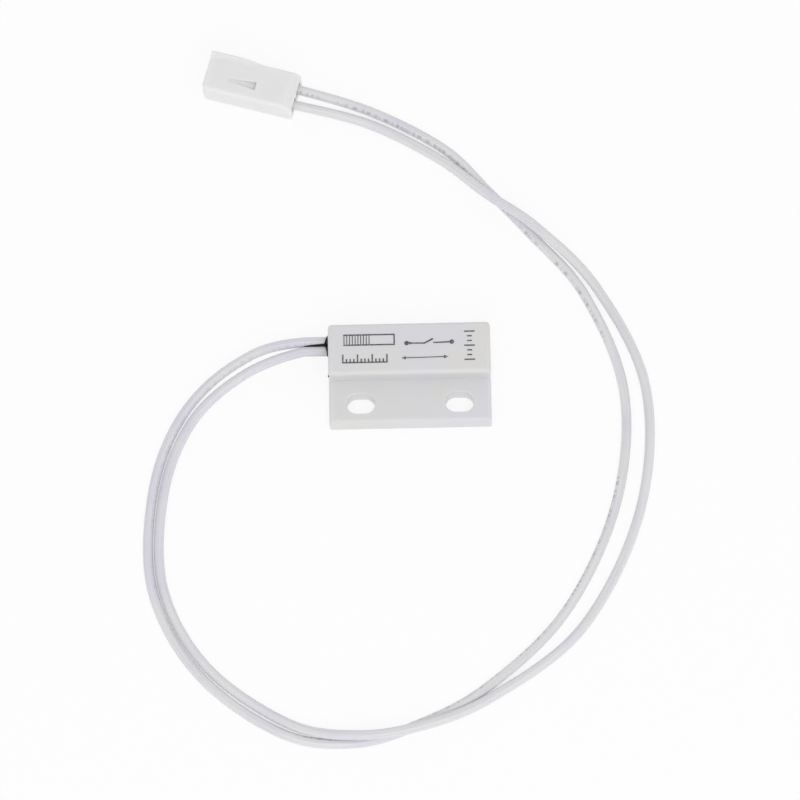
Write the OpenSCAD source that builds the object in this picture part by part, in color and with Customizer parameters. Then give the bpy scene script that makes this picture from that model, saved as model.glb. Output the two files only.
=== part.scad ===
/* [Housing] */
// Length of the housing
body_l = 23; // [22:0.1:30]
// Depth of the raised body that holds the switch
body_d = 7.6; // [7.2:0.1:12]
// Height of the raised body
body_h = 5.9; // [5.2:0.1:9]
// Depth of the mounting flange in front of the body
flange_d = 6.3; // [5:0.1:12]
// Thickness of the mounting flange
flange_h = 3; // [1.5:0.1:4.5]
// Radius of the top edges
edge_r = 0.6; // [0.1:0.05:0.7]
// Radius of the upright corners at the body's back
back_r = 0.7; // [0.1:0.05:0.7]
// Radius of the upright corners at the flange's front and at the step
front_r = 0.25; // [0.1:0.05:0.5]
// Wall around the pocket
wall = 0.8; // [0.6:0.05:1]
// Thickness of the closed end
end_wall = 1; // [0.6:0.1:1.2]
// Radius of the pocket's long corners
pocket_r = 0.5; // [0.2:0.1:1]

/* [Mounting slots] */
// Width of each slot
slot_w = 3; // [2:0.1:3.6]
// Length of each slot, end to end
slot_l = 4.1; // [3.7:0.1:7]
// Distance between the slots' centres
slot_gap = 14; // [9:0.5:15]
// Distance from the flange's front edge to the slots' centres
slot_edge = 2.9; // [2.4:0.1:3.2]

/* [Wires] */
// Diameter over the insulation
wire_d = 1.4; // [1:0.05:1.6]
// Space between the two wires where they leave the housing
wire_space = 0.05; // [0.03:0.01:0.3]
// Resin between the pocket's back wall and the outer wire
back_cover = 0.15; // [0.05:0.05:0.4]
// Straight length of each wire in front of the housing
wire_lead = 3.5; // [2:0.5:5]
// Diameter of one strand of the conductor
strand_d = 0.2; // [0.12:0.01:0.25]
// Radius at which the bare strands are bent
bend_r = 0.7; // [0.5:0.05:0.9]
// Bare strands between the insulation and the first bend
bare_l = 0.3; // [0.1:0.1:1]
// Clearance of the wires and the switch's leads in the resin
bore_clear = 0.01; // [0:0.01:0.1]

/* [Reed switch] */
// Length of the glass tube
glass_l = 12; // [9:0.5:12.5]
// Diameter of the glass tube
glass_d = 2.2; // [1.8:0.1:2.6]
// Wall of the glass tube
glass_wall = 0.3; // [0.2:0.05:0.4]
// Length of the fused glass around each lead
seal_l = 1.6; // [0.8:0.1:2]
// Radius at the tube's ends
glass_r = 0.8; // [0.3:0.1:0.9]
// Diameter of the leads
lead_d = 0.5; // [0.4:0.05:0.6]
// Length of each lead outside the glass
lead_l = 2.6; // [2.2:0.1:3]
// Width of the flattened blades
blade_w = 1; // [0.7:0.05:1.1]
// Thickness of the flattened blades
blade_t = 0.2; // [0.12:0.01:0.22]
// Length over which the blades lie above each other
blade_lap = 1; // [0.5:0.1:2]
// Gap between the open contacts
contact_gap = 0.05; // [0.02:0.01:0.1]
// Length of round lead inside the glass before the blade
root_l = 0.8; // [0.4:0.1:1.2]
// Resin between the pocket's front wall and the glass
front_cover = 0.5; // [0.2:0.1:0.7]
// Resin between the pocket's closed end and the far lead
end_cover = 0.4; // [0.2:0.1:0.8]

/* [Solder joints] */
// Length over which strands and lead lie side by side
joint_l = 1.4; // [1:0.1:1.7]
// Length of the lead left free outside the joint
joint_in = 0.2; // [0.1:0.1:0.4]
// Solder film between strands and lead
solder_film = 0.03; // [0.02:0.01:0.1]
// Solder beyond the strands' tips
solder_over = 0.3; // [0.1:0.05:0.4]
// Solder over the strands
solder_cover = 0.12; // [0.05:0.01:0.25]

/* [Resin] */
// Width of the bulge at the wire exit
bulge_w = 3.1; // [2:0.1:3.1]
// Height of the bulge at the wire exit
bulge_h = 0.45; // [0.3:0.05:1]

/* [Plug] */
// Length of the plug
plug_l = 13.4; // [12.5:0.1:18]
// Distance between the two contacts
plug_pitch = 2.5; // [2.4:0.05:3.5]
// Side wall of each contact chamber
plug_wall = 0.6; // [0.4:0.05:0.9]
// Thickness under the chambers
plug_floor = 1.1; // [0.8:0.1:1.6]
// Thickness over the chambers
plug_roof = 1.3; // [1:0.1:1.8]
// Thickness of the nose in front of the chambers
nose_wall = 1.2; // [0.8:0.1:1.6]
// Radius of the plug's long edges
plug_r = 0.35; // [0.1:0.05:0.5]
// Length of the slope at the top of the rear end
rear_slope = 1.1; // [0.3:0.1:1.5]
// Drop of the slope at the top of the rear end
rear_drop = 0.8; // [0.2:0.1:0.9]
// Bevel around the nose
nose_bevel = 0.3; // [0.1:0.05:0.5]
// Bevel of the nose corner away from the rib
corner_bevel = 0.5; // [0.3:0.1:1]
// Length of the wedge-shaped lock recess on top
recess_l = 4.6; // [3:0.1:6]
// Distance from the nose to the recess's shallow tip
recess_in = 3; // [1:0.1:4]
// Width of the recess at its deep end
recess_w = 1.3; // [0.8:0.1:1.5]
// Depth of the recess at its deep end
recess_d = 0.7; // [0.3:0.05:0.9]
// Distance from the plug's middle to the recess's middle
recess_off = 0.7; // [0:0.1:1]
// Length of the polarising rib, back from the nose
rib_l = 4.2; // [2:0.1:5]
// Length of the rib's run-out behind it
rib_run = 3.2; // [1:0.1:5]
// Width of the rib's sloped top
rib_w = 1.1; // [0.7:0.1:1.5]
// Height of the rib over the plug's top
rib_h = 0.35; // [0.1:0.05:0.5]
// How far the rib stands out of the plug's side
rib_out = 0.25; // [0.1:0.05:0.4]
// Height of the rib down the plug's side
rib_side = 1.4; // [0.8:0.1:2]
// Bevel of the rib's outer edge
rib_bevel = 0.3; // [0.1:0.05:0.4]
// Width of each contact window in the nose
entry_w = 0.9; // [0.7:0.05:1]
// Bevel around each contact window
entry_bevel = 0.25; // [0.1:0.05:0.3]
// Length of each lock window under the plug
window_l = 2.4; // [2:0.1:3]
// Width of each lock window
window_w = 1.1; // [0.9:0.05:1.3]
// Clearance of the contacts in their chambers
chamber_clear = 0.1; // [0.05:0.01:0.2]

/* [Contacts] */
// Thickness of the contact sheet
sheet_t = 0.2; // [0.15:0.01:0.22]
// Length of the contact box
box_l = 4.6; // [3.6:0.1:5]
// Width of the contact box
box_w = 1.5; // [1.3:0.05:1.6]
// Height of the contact box
box_h = 1.9; // [1.6:0.05:2]
// Width of the sheet between box and crimps
neck_w = 0.9; // [0.7:0.05:1]
// Length of the sheet between box and conductor crimp
neck_l = 1.2; // [0.8:0.1:1.6]
// Length of the conductor crimp
grip_l = 1.5; // [1:0.1:1.8]
// Length of the sheet between the two crimps
waist_l = 0.6; // [0.4:0.1:1]
// Length of the insulation crimp
clasp_l = 1.7; // [1.2:0.1:2]
// Width of the seam on top of the insulation crimp
seam_w = 0.3; // [0.1:0.05:0.5]
// Bare strands in front of the conductor crimp
strand_over = 0.3; // [0.1:0.1:0.6]
// Width of the lock tongue and of the contact spring
tongue_w = 0.7; // [0.5:0.05:0.8]
// Length of the lock tongue
tongue_l = 1.4; // [1:0.1:1.8]
// Drop of the lock tongue
tongue_drop = 0.4; // [0.2:0.05:0.6]

/* [Hidden] */
$fn = 64;

// Small overrun of every cut
cut = 0.5;
// Least rim that the rounded edges leave of the wall at the pocket's open end
rim = 0.1;

// Housing: the origin lies between the slots on the underside, and the wires leave at the low X end
front_y = -slot_edge;
step_y = front_y + flange_d;
back_y = step_y + body_d;
exit_x = -body_l / 2;
pocket_end = body_l / 2 - end_wall;
pocket_l = pocket_end - exit_x;
pocket_w = body_d - 2 * wall;
pocket_h = body_h - 2 * wall;
pocket_y = (step_y + back_y) / 2;
top_round = min(edge_r, wall - rim);
back_round = min(back_r, wall - rim);

// Wires: a is the outer wire, beside the housing's back face, and b the inner one
wire_r = wire_d / 2;
wire_z = body_h / 2;
wire_a_y = back_y - wall - back_cover - wire_r;
wire_b_y = wire_a_y - wire_d - wire_space;

// A conductor of seven strands, drawn as a core with six lobes
strand_step = 0.95 * strand_d;
bundle_r = strand_step + strand_d / 2;

// Reed switch, counted back from the pocket's closed end
lead_r = lead_d / 2;
reed_y = step_y + wall + front_cover + glass_d / 2;
glass_far = pocket_end - end_cover - lead_l;
glass_near = glass_far - glass_l;
reed_x = (glass_far + glass_near) / 2;
bore_r = glass_d / 2 - glass_wall;
seal_face = glass_l / 2 - seal_l;

// Solder joints: the strands lie on the back side of each lead
strand_off = lead_r + bundle_r + solder_film;
strand_y = reed_y + strand_off;
joint_far = glass_far + lead_l - joint_in - joint_l;
joint_near = glass_near - lead_l + joint_in;
solder_r = strand_off / 2 + bundle_r + solder_cover;
solder_l = joint_l + solder_over;

// Angle of each of a joggle's two bends, its straight middle and its length
function joggle_turn(shift) = shift < 2 * bend_r ? acos(1 - shift / (2 * bend_r)) : 90;
function joggle_mid(shift) = max(0, shift - 2 * bend_r);
function joggle_l(shift) = 2 * bend_r * sin(joggle_turn(shift));

shift_a = wire_a_y - strand_y;
shift_b = wire_b_y - strand_y;
inner_a = [joint_far - joggle_l(shift_a) - bare_l, wire_a_y, wire_z];
inner_b = [joint_near - joggle_l(shift_b) - bare_l, wire_b_y, wire_z];

// Contacts, from the nose back, with their heights counted from the wire's axis
clasp_r = wire_r + sheet_t;
grip_r = bundle_r + sheet_t;
chamber_w = 2 * clasp_r + 2 * chamber_clear;
chamber_h = max(2 * clasp_r, box_h) + 2 * chamber_clear;
chamber_l = plug_l - nose_wall;
box_x = chamber_l - chamber_clear - box_l;
grip_x = box_x - neck_l - grip_l;
crimp_x = grip_x - waist_l;
clasp_x = crimp_x - clasp_l;

// Plug: its own X axis runs from the rear end to the nose
plug_w = plug_pitch + chamber_w + 2 * plug_wall;
plug_h = plug_floor + chamber_h + plug_roof;
plug_z = plug_floor + chamber_h / 2;
plug_x = -15.8;
plug_y = 47.2;
plug_turn = 164;
mouth_in = 1;

// Point of the plug in the shared frame
function plug_point(x, y) = [
    plug_x + x * cos(plug_turn) - y * sin(plug_turn),
    plug_y + x * sin(plug_turn) + y * cos(plug_turn),
    plug_z
];

// Routes of the wires between housing and plug, lying on the surface the sensor stands on.
// Wire b crosses over wire a twice.
route_a = [
    [-24.4, 6.8, 1.9], [-32.2, -0.3, 0.9], [-36.5, -11.4, 0.76], [-36.7, -26, 0.71], [-30.2, -38.5, 0.7],
    [-18.7, -47.1, 0.7], [-8.6, -48.7, 0.7], [0.4, -46.2, 0.7], [9.9, -41.2, 0.7], [21.1, -30.6, 0.7],
    [28.7, -15, 0.7], [30.4, 1.6, 0.7], [25.2, 16.4, 0.7], [17.6, 26, 0.7], [11.8, 32.5, 0.71],
    [5.5, 39.2, 0.76], [-4.9, 45.1, 1]
];
route_b = [
    [-23.5, 5, 1.9], [-30.9, -1.4, 0.9], [-35, -11.8, 0.76], [-35.2, -25.7, 0.71], [-29.1, -37.4, 0.74],
    [-17.9, -45.7, 0.9], [-8.6, -47.9, 2.1], [0.6, -46.8, 2.2], [10.6, -42.6, 1.1], [23.5, -32.8, 0.78],
    [32.1, -15.9, 0.72], [33.5, 2.2, 0.72], [27, 17.3, 0.88], [18.5, 26.4, 2.1], [11.5, 31.6, 2.2],
    [4.6, 37.7, 1], [-5.5, 43.3, 1]
];
ring_steps = 2;
tube_sides = 8;

// Point on the smooth curve from p to q, with o before p and r after q
function between(o, p, q, r, t) =
    0.5 * (2 * p + (q - o) * t + (2 * o - 5 * p + 4 * q - r) * t * t + (3 * p - o - 3 * q + r) * t * t * t);

// Smooth curve through all points but the first and the last, which only set its ends' directions
function smooth(p) = [
    for (i = [1 : len(p) - 3], s = [0 : ring_steps - 1])
        between(p[i - 1], p[i], p[i + 1], p[i + 2], s / ring_steps),
    p[len(p) - 2]
];

// Centre line of a wire from its solder joint to its crimp
function wire_path(inner, route, side) = let (
    start = [exit_x - wire_lead, inner.y, wire_z],
    mouth = plug_point(mouth_in, side * plug_pitch / 2),
    crimp = plug_point(crimp_x, side * plug_pitch / 2)
) concat([inner], smooth(concat([inner, start], route, [mouth, crimp])), [crimp]);

function unit(v) = v / norm(v);

// Corners of one ring of a tube around p, square to the direction d
function ring(p, d) = let (across = unit(cross([0, 0, 1], d)), up = cross(d, across)) [
    for (k = [0 : tube_sides - 1])
        p + wire_r * (cos(360 * k / tube_sides) * across + sin(360 * k / tube_sides) * up)
];

// Round tube swept along a path
module tube(path) {
    last = len(path) - 1;
    corners = [
        for (i = [0 : last])
            each ring(path[i], unit(path[min(i + 1, last)] - path[max(i - 1, 0)]))
    ];
    sides = [
        for (i = [0 : last - 1], k = [0 : tube_sides - 1])
            let (n = (k + 1) % tube_sides, a = i * tube_sides, b = a + tube_sides)
                each [[a + k, b + k, a + n], [a + n, b + k, b + n]]
    ];
    near_cap = [for (k = [0 : tube_sides - 1]) k];
    far_cap = [for (k = [tube_sides - 1 : -1 : 0]) last * tube_sides + k];
    polyhedron(corners, concat([near_cap], sides, [far_cap]));
}

// Rectangle with round corners
module round_rect(l, w, r) {
    square([l, w - 2 * r], center = true);
    square([l - 2 * r, w], center = true);
    for (x = [-1, 1], y = [-1, 1])
        translate([x * (l / 2 - r), y * (w / 2 - r)]) circle(r);
}

// Outline of the housing seen from above, with its own radii at front and back
module plan(l, d) {
    translate([-l / 2, front_r - d / 2]) square([l, d - front_r - back_round]);
    translate([front_r - l / 2, -d / 2]) square([l - 2 * front_r, d / 2]);
    translate([back_round - l / 2, 0]) square([l - 2 * back_round, d / 2]);
    for (x = [-1, 1]) {
        translate([x * (l / 2 - front_r), front_r - d / 2]) circle(front_r);
        translate([x * (l / 2 - back_round), d / 2 - back_round]) circle(back_round);
    }
}

// Upright outline on the X axis with its two top corners rounded
module crowned(w, h) {
    translate([-w / 2, 0]) square([w, h - top_round]);
    translate([-w / 2 + top_round, 0]) square([w - 2 * top_round, h]);
    for (x = [-1, 1])
        translate([x * (w / 2 - top_round), h - top_round]) circle(top_round);
}

// Moulded block: round upright corners, round top edges, sharp underside
module moulded_block(l, d, h) {
    intersection() {
        linear_extrude(h) plan(l, d);
        rotate([90, 0, 0]) linear_extrude(d, center = true) crowned(l, h);
        rotate([90, 0, 90]) linear_extrude(l, center = true) crowned(d, h);
    }
}

// Bar along X from x = 0, with the section given as its child
module bar(l) {
    rotate([0, 90, 0]) linear_extrude(l) rotate(90) children();
}

// Solid of revolution around the X axis, of the child's half at positive X
module turned(l, d) {
    rotate([0, 90, 0]) rotate_extrude() intersection() {
        children();
        translate([0, -l / 2]) square([d, l]);
    }
}

// Section of the seven strands
module strands() {
    circle(strand_step);
    for (k = [0 : 5])
        rotate(60 * k) translate([strand_step, 0]) circle(d = strand_d);
}

// Bent bar along X: straight, aside towards low Y by shift, and straight again beside the lead
module joggle(shift, run) {
    turn = joggle_turn(shift);
    mid = joggle_mid(shift);
    side = bend_r * sin(turn);
    bar(bare_l) children();
    translate([bare_l, -bend_r, 0])
        rotate([0, 0, 90 - turn]) rotate_extrude(angle = turn) translate([bend_r, 0]) children();
    if (mid > 0)
        translate([bare_l + side, -bend_r, 0]) rotate([90, 0, 0]) linear_extrude(mid) children();
    translate([bare_l + 2 * side, bend_r - shift, 0])
        rotate([0, 0, 270 - turn]) rotate_extrude(angle = turn) translate([bend_r, 0]) children();
    translate([bare_l + 2 * side, -shift, 0]) bar(run) children();
}

// Open pocket of the body, with the section that the resin fills
module pocket(over) {
    translate([exit_x - over, pocket_y, wire_z])
        bar(pocket_l + over) round_rect(pocket_w, pocket_h, pocket_r);
}

module slot() {
    translate([0, 0, -cut]) linear_extrude(flange_h + 2 * cut) {
        square([slot_l - slot_w, slot_w], center = true);
        for (x = [-1, 1])
            translate([x * (slot_l - slot_w) / 2, 0]) circle(d = slot_w);
    }
}

module housing() {
    color("#ecebe9") difference() {
        union() {
            translate([0, (front_y + back_y) / 2, 0]) moulded_block(body_l, flange_d + body_d, flange_h);
            translate([0, pocket_y, 0]) moulded_block(body_l, body_d, body_h);
        }
        pocket(cut);
        for (x = [-1, 1])
            translate([x * slot_gap / 2, 0, 0]) slot();
    }
}

// Resin that fills the pocket, domed at the open end where it climbed the wires
module filling() {
    dome_r = (bulge_w * bulge_w / 4 + bulge_h * bulge_h) / (2 * bulge_h);
    intersection() {
        pocket(bulge_h + cut);
        union() {
            translate([exit_x, step_y, 0]) cube([body_l, body_d, body_h]);
            translate([exit_x + dome_r - bulge_h, (wire_a_y + wire_b_y) / 2, wire_z]) sphere(dome_r);
        }
    }
}

// Glass-shaped body around the X axis
module tube_body(l, d, r) {
    turned(l, d) round_rect(d, l, r);
}

// Room of the switch's two leads, from tip to tip
module lead_bar(clear = 0) {
    translate([glass_near - lead_l, reed_y, wire_z])
        bar(glass_l + 2 * lead_l) circle(lead_r + clear);
}

module potting() {
    color("#1b1b1e") difference() {
        filling();
        for (inner = [inner_a, inner_b])
            translate([exit_x - bulge_h - cut, inner.y, wire_z])
                bar(inner.x - exit_x + bulge_h + cut) circle(wire_r + bore_clear);
        translate(inner_a) joggle(shift_a, joint_l) circle(bundle_r);
        translate(inner_b) joggle(shift_b, joint_l) circle(bundle_r);
        translate([reed_x, reed_y, wire_z]) tube_body(glass_l, glass_d, glass_r);
        lead_bar(bore_clear);
        for (x = [joint_near, joint_far]) solder_bead(x);
    }
}

module reed_glass() {
    color("#bfd8c8", 0.5) translate([reed_x, reed_y, wire_z]) difference() {
        tube_body(glass_l, glass_d, glass_r);
        tube_body(2 * seal_face, 2 * bore_r, bore_r / 2);
        translate([-glass_l / 2 - cut, 0, 0]) bar(glass_l + 2 * cut) circle(lead_r);
    }
}

// One switch blade: round lead, pressed root and flat spring with its contact at x = 0
module reed_blade() {
    root_x = -seal_face + root_l;
    low_z = contact_gap / 2;
    high_z = low_z + blade_t;
    translate([-glass_l / 2 - lead_l, 0, 0]) bar(lead_l + seal_l) circle(lead_r);
    intersection() {
        translate([-seal_face - cut, 0, 0]) bar(root_l + cut) circle(lead_r);
        rotate([90, 0, 0]) linear_extrude(lead_d, center = true)
            polygon([[-seal_face - cut, -lead_r], [root_x, low_z], [root_x, high_z], [-seal_face - cut, lead_r]]);
    }
    translate([0, 0, low_z]) linear_extrude(blade_t)
        polygon([
            [root_x - root_l / 2, -lead_r / 2], [root_x + root_l / 2, -blade_w / 2],
            [blade_lap / 2, -blade_w / 2], [blade_lap / 2, blade_w / 2],
            [root_x + root_l / 2, blade_w / 2], [root_x - root_l / 2, lead_r / 2]
        ]);
}

module reed_blade_near() {
    color("#b9bcc0") translate([reed_x, reed_y, wire_z]) reed_blade();
}

module reed_blade_far() {
    color("#b9bcc0") translate([reed_x, reed_y, wire_z]) rotate([0, 180, 0]) reed_blade();
}

// Solder around lead and strands, from x to just past the strands' tips
module solder_bead(x) {
    translate([x + solder_l / 2, reed_y + strand_off / 2, wire_z])
        tube_body(solder_l, 2 * solder_r, solder_cover / 2);
}

module solder(x) {
    color("#c9cccf") difference() {
        solder_bead(x);
        lead_bar();
        translate([x - cut, strand_y, wire_z]) bar(joint_l + cut) strands();
    }
}

module solder_near() {
    solder(joint_near);
}

module solder_far() {
    solder(joint_far);
}

module conductor_a_reed() {
    color("#d8d5cc") translate(inner_a) joggle(shift_a, joint_l) strands();
}

module conductor_b_reed() {
    color("#d8d5cc") translate(inner_b) joggle(shift_b, joint_l) strands();
}

module wire_a() {
    color("#e9e8f2") tube(wire_path(inner_a, route_a, -1));
}

module wire_b() {
    color("#e9e8f2") tube(wire_path(inner_b, route_b, 1));
}

// Places what lies around one chamber's axis: side -1 for wire a, 1 for wire b
module in_chamber(side) {
    translate([plug_x, plug_y, plug_z]) rotate([0, 0, plug_turn])
        translate([0, side * plug_pitch / 2, 0]) children();
}

module conductor_plug(side) {
    color("#d8d5cc") in_chamber(side)
        translate([crimp_x, 0, 0]) bar(waist_l + grip_l + strand_over) strands();
}

module conductor_a_plug() {
    conductor_plug(-1);
}

module conductor_b_plug() {
    conductor_plug(1);
}

// Sheet seen from the side, extruded to a strip: points are its underside
module strip(points, w) {
    rotate([90, 0, 0]) linear_extrude(w, center = true)
        polygon(concat(points, [for (i = [len(points) - 1 : -1 : 0]) points[i] + [0, sheet_t]]));
}

// Socket contact folded from sheet: box with spring and lock tongue, conductor and insulation crimps
module terminal(side) {
    floor_z = -box_h / 2;
    box_in = box_w - 2 * sheet_t;
    color("#c8b98c") in_chamber(side) {
        difference() {
            union() {
                strip([
                    [clasp_x, -clasp_r], [crimp_x, -clasp_r], [grip_x, -grip_r],
                    [grip_x + grip_l, -grip_r], [box_x, floor_z], [box_x + sheet_t, floor_z]
                ], neck_w);
                translate([clasp_x, 0, 0]) bar(clasp_l) circle(clasp_r);
                translate([grip_x, 0, 0]) bar(grip_l) circle(grip_r);
            }
            translate([clasp_x - cut, 0, 0]) bar(clasp_l + cut) circle(wire_r);
            translate([clasp_x - cut, -seam_w / 2, 0]) cube([clasp_l + cut, seam_w, clasp_r + cut]);
            translate([grip_x - waist_l, 0, 0]) bar(waist_l + grip_l + strand_over) strands();
            translate([grip_x - cut, 0, grip_r]) bar(grip_l + 2 * cut) circle(sheet_t / 2);
        }
        difference() {
            translate([box_x, -box_w / 2, floor_z]) cube([box_l, box_w, box_h]);
            translate([box_x - cut, -box_in / 2, floor_z + sheet_t])
                cube([box_l + 2 * cut, box_in, box_h - 2 * sheet_t]);
            translate([box_x + tongue_l / 2, -tongue_w / 2, floor_z - cut])
                cube([tongue_l, tongue_w, sheet_t + 2 * cut]);
        }
        strip([
            [box_x + tongue_l / 2, floor_z - tongue_drop],
            [box_x + 3 * tongue_l / 2, floor_z], [box_x + 3 * tongue_l / 2 + sheet_t, floor_z]
        ], tongue_w);
        strip([
            [box_x + box_l - sheet_t, floor_z + sheet_t / 2], [box_x + box_l / 2, -sheet_t],
            [box_x + box_l / 4, -3 * sheet_t / 2]
        ], tongue_w);
    }
}

module terminal_a() {
    terminal(-1);
}

module terminal_b() {
    terminal(1);
}

// Plug seen from above, bevelled at one nose corner
module plug_plan() {
    polygon([
        [0, -plug_w / 2], [plug_l, -plug_w / 2], [plug_l, plug_w / 2 - corner_bevel],
        [plug_l - corner_bevel, plug_w / 2], [0, plug_w / 2]
    ]);
}

// Plug seen from the side: sloped down at the rear, bevelled above and below at the nose
module plug_side() {
    polygon([
        [0, 0], [plug_l - nose_bevel, 0], [plug_l, nose_bevel], [plug_l, plug_h - nose_bevel],
        [plug_l - nose_bevel, plug_h], [rear_slope, plug_h], [0, plug_h - rear_drop]
    ]);
}

// Square window in the nose with a bevelled edge, from x = 0 towards low X
module entry() {
    mouth_w = entry_w + 2 * entry_bevel;
    flare = [
        [cut, mouth_w / 2 + cut], [-entry_bevel, entry_w / 2],
        [-entry_bevel, -entry_w / 2], [cut, -mouth_w / 2 - cut]
    ];
    translate([-nose_wall - cut, -entry_w / 2, -entry_w / 2]) cube([nose_wall + cut, entry_w, entry_w]);
    intersection() {
        linear_extrude(mouth_w + 2 * cut, center = true) polygon(flare);
        rotate([90, 0, 0]) linear_extrude(mouth_w + 2 * cut, center = true) polygon(flare);
    }
}

// Recess that a header's catch falls into: it widens and deepens towards the rear
module recess() {
    deep_x = plug_l - recess_in - recess_l;
    tip_x = plug_l - recess_in + cut;
    tip_z = plug_h + cut * recess_d / recess_l;
    tip_w = recess_w / 8;
    translate([0, recess_off, 0]) intersection() {
        linear_extrude(plug_h + cut)
            polygon([[deep_x, -recess_w / 2], [tip_x, -tip_w / 2], [tip_x, tip_w / 2], [deep_x, recess_w / 2]]);
        rotate([90, 0, 0]) linear_extrude(2 * recess_w, center = true)
            polygon([[deep_x, plug_h - recess_d], [tip_x, tip_z], [tip_x, plug_h + cut], [deep_x, plug_h + cut]]);
    }
}

// Rib along one top edge at the nose: its top slopes up outwards, and it runs out towards the rear
module rib() {
    run_x = plug_l - rib_l - rib_run;
    full_x = plug_l - rib_l;
    side_y = -plug_w / 2;
    out_y = side_y - rib_out;
    low_z = plug_h - rib_side;
    top_z = plug_h + rib_h;
    intersection() {
        linear_extrude(top_z)
            polygon([[run_x, side_y], [full_x, out_y], [plug_l, out_y], [plug_l, 0], [run_x, 0]]);
        rotate([90, 0, 0]) linear_extrude(2 * plug_w, center = true)
            polygon([
                [run_x, 0], [plug_l, 0], [plug_l, top_z - nose_bevel],
                [plug_l - nose_bevel, top_z], [full_x, top_z], [run_x, plug_h]
            ]);
        bar(plug_l) polygon([
            [side_y + rib_w, plug_h - plug_r], [side_y + rib_w, plug_h],
            [out_y + rib_bevel, top_z], [out_y, top_z - rib_bevel], [out_y, low_z],
            [side_y, low_z - rib_out], [side_y + plug_wall / 2, low_z - rib_out],
            [side_y + plug_wall / 2, plug_h - plug_r]
        ]);
    }
}

module plug_housing() {
    color("#eceae6") translate([plug_x, plug_y, 0]) rotate([0, 0, plug_turn]) difference() {
        union() {
            intersection() {
                linear_extrude(plug_h) plug_plan();
                rotate([90, 0, 0]) linear_extrude(plug_w, center = true) plug_side();
                translate([0, 0, plug_h / 2]) bar(plug_l) round_rect(plug_w, plug_h, plug_r);
            }
            rib();
        }
        for (side = [-1, 1]) translate([0, side * plug_pitch / 2, 0]) {
            translate([-cut, -chamber_w / 2, plug_floor]) cube([chamber_l + cut, chamber_w, chamber_h]);
            translate([plug_l, 0, plug_z]) entry();
            translate([box_x + tongue_l / 2 - chamber_clear, -window_w / 2, -cut])
                cube([window_l, window_w, plug_floor + 2 * cut]);
        }
        recess();
    }
}

housing();
potting();
reed_glass();
reed_blade_near();
reed_blade_far();
solder_near();
solder_far();
conductor_a_reed();
conductor_b_reed();
wire_a();
wire_b();
conductor_a_plug();
conductor_b_plug();
terminal_a();
terminal_b();
plug_housing();
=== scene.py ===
import math

import bmesh
import bpy
from mathutils import Matrix, Vector, noise


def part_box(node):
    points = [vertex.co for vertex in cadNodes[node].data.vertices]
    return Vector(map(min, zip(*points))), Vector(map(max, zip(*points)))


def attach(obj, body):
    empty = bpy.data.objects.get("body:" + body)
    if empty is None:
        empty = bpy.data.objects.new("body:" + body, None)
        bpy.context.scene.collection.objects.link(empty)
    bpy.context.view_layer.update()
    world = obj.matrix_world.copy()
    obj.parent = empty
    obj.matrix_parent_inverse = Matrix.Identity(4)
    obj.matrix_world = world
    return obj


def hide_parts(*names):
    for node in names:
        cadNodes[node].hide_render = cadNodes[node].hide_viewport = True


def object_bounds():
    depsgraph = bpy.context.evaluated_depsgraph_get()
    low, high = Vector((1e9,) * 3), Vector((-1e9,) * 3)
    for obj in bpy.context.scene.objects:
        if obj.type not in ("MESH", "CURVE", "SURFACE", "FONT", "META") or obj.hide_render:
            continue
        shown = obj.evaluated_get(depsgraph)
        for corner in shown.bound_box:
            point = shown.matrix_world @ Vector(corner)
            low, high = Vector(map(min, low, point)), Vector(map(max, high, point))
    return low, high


# Level sensor of a water tank: a potted reed switch in a flanged housing, two leads and a two-way plug.
# Blender works in metres, so sizes are given in millimetres and go through mm().

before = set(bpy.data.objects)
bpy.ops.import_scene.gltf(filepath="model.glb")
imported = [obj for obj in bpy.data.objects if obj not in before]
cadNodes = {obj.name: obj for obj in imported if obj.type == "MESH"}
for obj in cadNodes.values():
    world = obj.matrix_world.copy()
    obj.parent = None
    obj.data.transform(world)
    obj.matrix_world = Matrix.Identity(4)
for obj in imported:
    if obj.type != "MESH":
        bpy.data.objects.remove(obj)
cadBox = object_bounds()
scene = bpy.context.scene


def mm(size):
    return size / 1000


def mmPoint(point):
    return Vector(point) / 1000


def hexColour(code):  # sRGB hex to linear RGBA
    parts = [int(code[i:i + 2], 16) / 255 for i in (1, 3, 5)]
    return (*[c / 12.92 if c <= 0.04045 else ((c + 0.055) / 1.055) ** 2.4 for c in parts], 1)


def addNode(tree, kind, settings, links=()):
    node = tree.nodes.new(kind)
    for name, value in settings.items():
        if isinstance(name, int) or name in node.inputs:
            node.inputs[name].default_value = value
        else:
            setattr(node, name, value)
    for name, source in dict(links).items():
        tree.links.new(source, node.inputs[name])
    return node


def newMaterial(name, look):
    material = bpy.data.materials.new(name)
    material.use_nodes = True
    tree = material.node_tree
    shader = tree.nodes["Principled BSDF"]
    shader.inputs["Base Color"].default_value = hexColour(look["colour"])
    shader.inputs["Roughness"].default_value = look["roughness"]
    if "ior" in look:
        shader.inputs["IOR"].default_value = look["ior"]
    if "bleed" in look:  # mm that light travels inside, and how much of it does
        shader.inputs["Subsurface Scale"].default_value = mm(look["bleed"][0])
        shader.inputs["Subsurface Radius"].default_value = (1, 1, 1)
        shader.inputs["Subsurface Weight"].default_value = look["bleed"][1]
    place = addNode(tree, "ShaderNodeTexCoord", {})
    inMm = addNode(
        tree, "ShaderNodeVectorMath", {"operation": "SCALE", "Scale": 1000}, {0: place.outputs["Object"]},
    )
    return material, tree, shader, inMm.outputs[0]


def giveMaterial(piece, material):
    piece.data.materials.clear()
    piece.data.materials.append(material)


def addPiece(name, mesh, material):
    piece = bpy.data.objects.new(name, mesh)
    scene.collection.objects.link(piece)
    giveMaterial(piece, material)
    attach(piece, "root")
    return piece


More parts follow.
